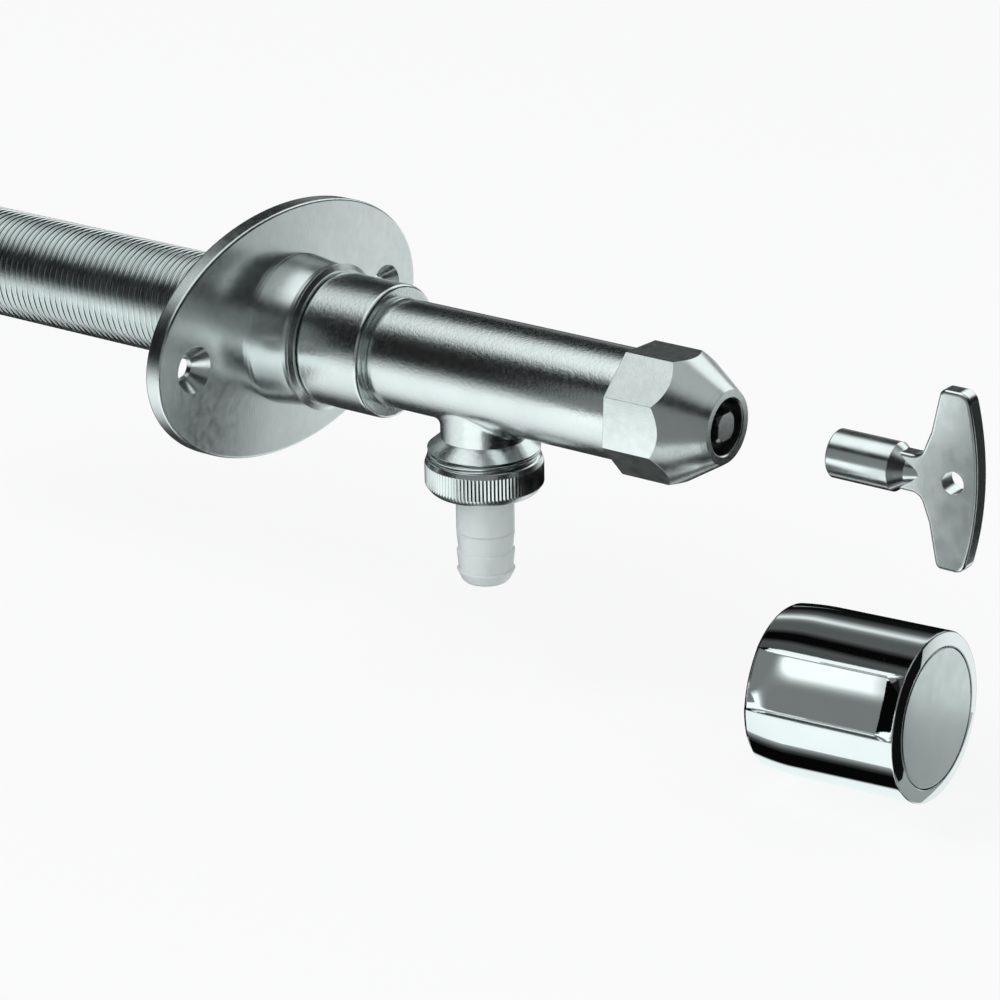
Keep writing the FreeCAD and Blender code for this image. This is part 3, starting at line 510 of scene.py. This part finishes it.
def shell_rings():
    """Rings of the shell, each a place along the knob, a radius and a share of the flutes' depth."""
    rings = []
    for step in range(BACK_STEPS):
        turn = math.pi / 2 * step / BACK_STEPS
        rings.append((BACK_ROUND * (1 - math.cos(turn)),
                      KNOB_BACK - BACK_ROUND * (1 - math.sin(turn))))
    for step in range(TAPER_STEPS):
        rings.append((BACK_ROUND + (KNOB_TAPER - BACK_ROUND) * step / TAPER_STEPS, KNOB_RADIUS))
    tapered = []
    for along, radius in rings:
        left = max(0.0, 1 - along / KNOB_TAPER)
        if radius == KNOB_RADIUS:
            radius -= (KNOB_RADIUS - KNOB_BACK) * left ** 2
        tapered.append((along, radius, 1 - (1 - FLUTE_BACK_SHARE) * left ** 2))
    rings = tapered
    for step in range(PLAIN_STEPS + 1):
        along = KNOB_TAPER + (FLUTE_END - KNOB_TAPER) * step / PLAIN_STEPS
        rings.append((along, KNOB_RADIUS, 1.0))
    for step in range(1, RISE_STEPS):
        share = step / RISE_STEPS
        rings.append((FLUTE_END + (FRONT_START - FLUTE_END) * share, KNOB_RADIUS,
                      1 - (FRONT_START - FLUTE_END) * share / (FLUTE_FRONT - FLUTE_END)))
    for step in range(FRONT_STEPS + 1):
        turn = EDGE_TURN * step / FRONT_STEPS
        along = FRONT_START + FRONT_ROUND * math.sin(turn)
        rings.append((along, KNOB_RADIUS - FRONT_ROUND * (1 - math.cos(turn)),
                      max(0.0, (FLUTE_FRONT - along) / (FLUTE_FRONT - FLUTE_END))))
    seat = KNOB_LENGTH - CAP_DEPTH
    for along, radius in (
            (KNOB_LENGTH, RING_RADIUS),
            (KNOB_LENGTH - CAP_GAP / 2, RING_RADIUS - CAP_GAP),
            (seat, RING_RADIUS - CAP_GAP),
            (seat, 0.0),
            (HUB_FRONT, 0.0),
            (HUB_FRONT, HUB_RADIUS),
            (CAVITY_FRONT, HUB_RADIUS),
            (CAVITY_SIDE, CAVITY_RADIUS),
            (MOUTH_BEVEL, CAVITY_RADIUS),
            (0.0, CAVITY_RADIUS + MOUTH_BEVEL)):
        rings.append((along, radius, 0.0))
    return rings


def knob_chrome():
    """Shell of the knob at its place, turned about its tilted axis."""
    stand = Matrix.Translation(KNOB_PLACE) @ Matrix.Rotation(KNOB_TILT, 4, Vector((0.0, -1.0, 1.0)))
    block = FLUTE_STEPS + LAND_STEPS
    segments = FLUTES * block

    def point(ring, angle):
        along, radius, share = ring
        step = round(angle / (2 * math.pi) * segments)
        flute, step = divmod(step, block)
        turn = FLUTE_HALF * (2 * step / FLUTE_STEPS - 1)
        if step > FLUTE_STEPS:
            land = 2 * math.pi / FLUTES - 2 * FLUTE_HALF
            turn = FLUTE_HALF + land * (step - FLUTE_STEPS) / LAND_STEPS
        else:
            radius -= share * flute_hollow(turn)
        turn += FLUTE_FIRST + 2 * math.pi / FLUTES * flute
        return stand @ Vector((along, -radius * math.cos(turn), radius * math.sin(turn)))
    mesh = ring_mesh("knob_chrome", shell_rings(), point, segments)
    return new_piece("knob_chrome", mesh, [chrome], "knob", sharp=8.0)


shell = knob_chrome()
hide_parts("knob_shell")


# Studio: floor, soft lamps and a dome that the metal mirrors

FLOOR = -0.0815
FLOOR_REACH = 6.0
FLOOR_GREY = (0.90, 0.90, 0.90, 1.0)
FLOOR_ROUGH = 0.9
FLOOR_GLOW = 0.85
SKY = (0.95, 0.97, 1.0, 1.0)
SKY_STRENGTH = 0.55
WHITE = (1.0, 1.0, 1.0, 1.0)
LAMP_TARGET = (0.05, 0.0, 0.0)
DOME_RADIUS = 3.0
DOME_STRENGTH = 1.08
DOME_DARK = 0.012
CLOTH = (0.93, 1.0, 0.99)
CARD_BLACK = 0.002


def glowing_cloth(name):
    material = bpy.data.materials.new(name)
    material.use_nodes = True
    tree = material.node_tree
    tree.nodes.clear()
    glow = tree.nodes.new("ShaderNodeEmission")
    glow.inputs["Color"].default_value = (*CLOTH, 1.0)
    out = tree.nodes.new("ShaderNodeOutputMaterial")
    link(tree, glow.outputs["Emission"], out.inputs["Surface"])
    return material, tree, glow


def only_in_gloss(thing):
    thing.visible_camera = False
    thing.visible_diffuse = False
    thing.visible_transmission = False
    thing.visible_shadow = False


def calculate(tree, operation, first, second):
    """Output of a new math node; first and second are outputs or numbers."""
    node = tree.nodes.new("ShaderNodeMath")
    node.operation = operation
    for index, item in enumerate((first, second)):
        if isinstance(item, (int, float)):
            node.inputs[index].default_value = item
        else:
            link(tree, item, node.inputs[index])
    return node.outputs["Value"]


def vector_node(tree, operation, source, other=None):
    """New vector math node for an output and, where it takes two, a fixed vector."""
    node = tree.nodes.new("ShaderNodeVectorMath")
    node.operation = operation
    link(tree, source, node.inputs[0])
    if other is not None:
        node.inputs[1].default_value = other
    return node


def make_floor():
    """Pale floor that glows a little to the camera, so that it stays near white under soft shadows."""
    mesh = bpy.data.meshes.new("floor")
    signs = (-1, -1), (1, -1), (1, 1), (-1, 1)
    corners = [(x * FLOOR_REACH, y * FLOOR_REACH, FLOOR) for x, y in signs]
    mesh.from_pydata(corners, [], [(0, 1, 2, 3)])
    floor = add_object("floor", mesh)
    material, tree, shader = new_material("floor_paper")
    shader.inputs["Base Color"].default_value = FLOOR_GREY
    shader.inputs["Roughness"].default_value = FLOOR_ROUGH
    path = tree.nodes.new("ShaderNodeLightPath")
    share = calculate(tree, "MULTIPLY", path.outputs["Is Camera Ray"], FLOOR_GLOW)
    glow = tree.nodes.new("ShaderNodeEmission")
    mix = tree.nodes.new("ShaderNodeMixShader")
    link(tree, share, mix.inputs["Fac"])
    link(tree, shader.outputs["BSDF"], mix.inputs[1])
    link(tree, glow.outputs["Emission"], mix.inputs[2])
    link(tree, mix.outputs["Shader"], tree.nodes["Material Output"].inputs["Surface"])
    mesh.materials.append(material)
    floor.visible_glossy = False


def make_dome():
    """Tent round the object, seen by gloss alone: soft light panels with dark between them."""
    mesh = bpy.data.meshes.new("dome")
    work = bmesh.new()
    bmesh.ops.create_uvsphere(work, u_segments=64, v_segments=32, radius=DOME_RADIUS)
    work.to_mesh(mesh)
    work.free()
    dome = add_object("dome", mesh)
    material, tree, glow = glowing_cloth("dome_cloth")
    place = tree.nodes.new("ShaderNodeTexCoord").outputs["Object"]
    toward = vector_node(tree, "NORMALIZE", place).outputs["Vector"]
    split = tree.nodes.new("ShaderNodeSeparateXYZ")
    link(tree, toward, split.inputs["Vector"])
    height = split.outputs["Z"]
    flat = vector_node(tree, "MULTIPLY", toward, (1.0, 1.0, 0.0)).outputs["Vector"]
    level = vector_node(tree, "NORMALIZE", flat).outputs["Vector"]

    def times(first, second):
        return calculate(tree, "MULTIPLY", first, second)

    def soft(source, start, end, low=0.0, high=1.0):
        """Low up to start and high from end on, also where start is the greater of the two."""
        node = tree.nodes.new("ShaderNodeMapRange")
        node.interpolation_type = "SMOOTHSTEP"
        node.inputs["From Min"].default_value = min(start, end)
        node.inputs["From Max"].default_value = max(start, end)
        node.inputs["To Min"].default_value = low if start < end else high
        node.inputs["To Max"].default_value = high if start < end else low
        link(tree, source, node.inputs["Value"])
        return node.outputs["Result"]

    def facing(source, direction):
        return vector_node(tree, "DOT_PRODUCT", source, Vector(direction).normalized()).outputs["Value"]

    def azimuth(degrees):
        """Level direction, 0 towards -Y and 90 towards +X."""
        angle = math.radians(degrees)
        return (math.sin(angle), -math.cos(angle), 0.0)

    # Overhead, weaker on the key's side
    above = times(soft(height, 0.70, 0.86), soft(split.outputs["X"], -0.2, 0.2, 1.0, 0.42))

    # High behind the tap
    behind = soft(facing(toward, (0.05, 0.85, 0.52)), 0.89, 0.96)

    # In front, stronger towards the floor, and cut off on the key's side
    ahead = times(soft(height, 0.15, -0.42), soft(facing(level, azimuth(-10)), -0.2, 1.0))
    ahead = times(ahead, soft(facing(level, azimuth(100)), 0.35, 0.62, 1.0, 0.0))

    # Below the horizon: a panel behind the tap and a narrow strip on the key's side
    low = soft(height, 0.05, -0.15)
    low_behind = times(low, soft(facing(level, azimuth(170)), 0.72, 0.966, 0.0, 0.85))
    low_behind = times(low_behind, soft(height, -0.92, -0.75))
    strip = times(low, soft(facing(level, azimuth(94)), 0.990, 0.997, 0.0, 0.7))

    # Faint glow at the horizon behind the sleeve
    horizon = times(soft(height, 0.28, 0.05), soft(facing(level, azimuth(-145)), 0.6, 0.9, 0.0, 0.25))
    horizon = times(horizon, soft(height, -0.10, 0.05, 0.08, 1.0))

    total = above
    for panel in (behind, ahead, low_behind, strip, horizon):
        total = calculate(tree, "MAXIMUM", total, panel)
    total = calculate(tree, "ADD", times(total, DOME_STRENGTH), DOME_DARK)
    link(tree, total, glow.inputs["Strength"])
    mesh.materials.append(material)
    only_in_gloss(dome)


def make_card(name, corner, side, rise, stops, fade=None):
    """Small card that only gloss sees.

    Its shades run along the rise: each stop is a share of it and a strength, the first two stops its
    two ends. A fade gives the shares of the side between which the shades give way to one strength,
    and that strength."""
    corner, side, rise = Vector(corner), Vector(side), Vector(rise)
    mesh = bpy.data.meshes.new(name)
    corners = [corner, corner + side, corner + side + rise, corner + rise]
    mesh.from_pydata(corners, [], [(0, 1, 2, 3)])
    layer = mesh.uv_layers.new(name="along")
    for loop, share in zip(layer.data, ((0, 0), (1, 0), (1, 1), (0, 1))):
        loop.uv = share
    card = add_object(name, mesh)
    material, tree, glow = glowing_cloth(name)
    split = tree.nodes.new("ShaderNodeSeparateXYZ")
    link(tree, tree.nodes.new("ShaderNodeTexCoord").outputs["UV"], split.inputs["Vector"])
    shades = tree.nodes.new("ShaderNodeValToRGB")
    marks = shades.color_ramp.elements
    for index, (share, strength) in enumerate(stops):
        stop = marks[index] if index < 2 else marks.new(share)
        stop.position = share
        stop.color = (strength, strength, strength, 1.0)
    link(tree, split.outputs["Y"], shades.inputs["Fac"])
    if fade is None:
        link(tree, shades.outputs["Color"], glow.inputs["Strength"])
    else:
        start, end, strength = fade
        blend = tree.nodes.new("ShaderNodeMix")
        link(tree, ramp(tree, split.outputs["X"], 0.0, 1.0, start, end), blend.inputs["Factor"])
        link(tree, shades.outputs["Color"], blend.inputs["A"])
        blend.inputs["B"].default_value = strength
        link(tree, blend.outputs["Result"], glow.inputs["Strength"])
    mesh.materials.append(material)
    only_in_gloss(card)


def lamp(name, place, size, power):
    data = bpy.data.lights.new(name, "AREA")
    data.shape = "SQUARE"
    data.size = size
    data.energy = power
    light = add_object(name, data)
    light.location = place
    aim = Vector(LAMP_TARGET) - Vector(place)
    light.rotation_euler = aim.to_track_quat("-Z", "Y").to_euler()
    light.visible_glossy = False


def background(tree, colour, strength):
    node = tree.nodes.new("ShaderNodeBackground")
    node.inputs["Color"].default_value = colour
    node.inputs["Strength"].default_value = strength
    return node.outputs["Background"]


def make_world():
    """White to the camera, to gloss and through glass, and a softer sky for everything else."""
    world = bpy.data.worlds.new("studio")
    bpy.context.scene.world = world
    world.use_nodes = True
    tree = world.node_tree
    tree.nodes.clear()
    path = tree.nodes.new("ShaderNodeLightPath")
    seen = calculate(tree, "MAXIMUM", path.outputs["Is Camera Ray"], path.outputs["Is Glossy Ray"])
    seen = calculate(tree, "MAXIMUM", seen, path.outputs["Is Transmission Ray"])
    mix = tree.nodes.new("ShaderNodeMixShader")
    link(tree, seen, mix.inputs["Fac"])
    link(tree, background(tree, SKY, SKY_STRENGTH), mix.inputs[1])
    link(tree, background(tree, WHITE, 1.0), mix.inputs[2])
    out = tree.nodes.new("ShaderNodeOutputWorld")
    link(tree, mix.outputs["Shader"], out.inputs["Surface"])


BLACK = [(0.0, CARD_BLACK), (1.0, CARD_BLACK)]

# Name, corner, side, rise, stops and fade of each card. They give the knob and the key the bands
# that a real studio's walls, lamps and table give them.
CARDS = [
    ("card_over_knob", (0.126, -0.022, -0.033), (0.056, 0, 0), (0, 0.120, 0), [
        (0.0, 0.06), (1.0, 0.004), (0.058, 0.08), (0.068, 0.09), (0.078, 0.04), (0.085, 0.002),
        (0.110, 0.002), (0.119, 0.04), (0.128, 0.11), (0.152, 0.105), (0.164, 0.13), (0.176, 0.26),
        (0.188, 0.85), (0.195, 0.85), (0.206, 0.46), (0.225, 0.126), (0.250, 0.06), (0.300, 0.006),
    ]),
    ("card_before_knob", (0.030, -0.100, -0.070), (0.210, 0, 0), (0, 0, 0.140), [
        (0.0, 1.2), (1.0, 0.21), (0.350, 1.2), (0.360, 0.95), (0.367, 0.79), (0.374, 0.61),
        (0.390, 0.43), (0.402, 0.32), (0.419, 0.25), (0.447, 0.21),
    ], (0.480, 0.515, 0.21)),
    ("card_before_knob_back", (0.119, -0.098, -0.0795), (0.023, 0, 0), (0, 0, 0.0495), [
        (0.0, 0.21), (1.0, 0.21),
    ]),
    ("card_under_knob", (0.120, -0.031, -0.0795), (0.062, 0, 0), (0, 0.046, 0), [
        (0.0, 0.42), (1.0, 1.0), (0.055, 0.20), (0.11, 0.05), (0.165, 0.002), (0.34, 0.002),
        (0.37, 1.0),
    ]),
    ("card_left_of_knob", (0.124, -0.036, -0.0795), (0, 0.066, 0), (0, 0, 0.050), BLACK),
    ("card_left_of_flute", (0.124, -0.054, -0.0625), (0, 0.018, 0), (0, 0, 0.033), BLACK),
    ("card_behind_knob", (0.070, 0.052, -0.0795), (0.110, 0, 0), (0, 0, 0.046), [
        (0.0, 0.004), (1.0, 0.004),
    ]),
    ("card_beside_knob", (0.200, -0.050, -0.085), (0, 0.053, 0), (0, 0.0196, 0.055), [
        (0.0, 0.005), (1.0, 0.005),
    ]),
    ("card_below_disc", (0.186, -0.020, -0.0795), (0.050, 0, 0), (0, 0.075, 0), [
        (0.0, 0.30), (1.0, 0.46),
    ]),
    ("card_beside_key", (0.193, 0.020, -0.036), (0.030, 0, 0), (0, 0, 0.054), [
        (0.0, 0.03), (1.0, 0.03),
    ]),
]

place_camera()
make_world()
make_floor()
make_dome()
for card in CARDS:
    make_card(*card)
lamp("key_lamp", (-0.6, -1.2, 1.4), size=1.2, power=14.0)
lamp("fill_lamp", (1.6, -0.9, 0.6), size=1.0, power=5.0)
bpy.context.scene.view_settings.view_transform = "Standard"
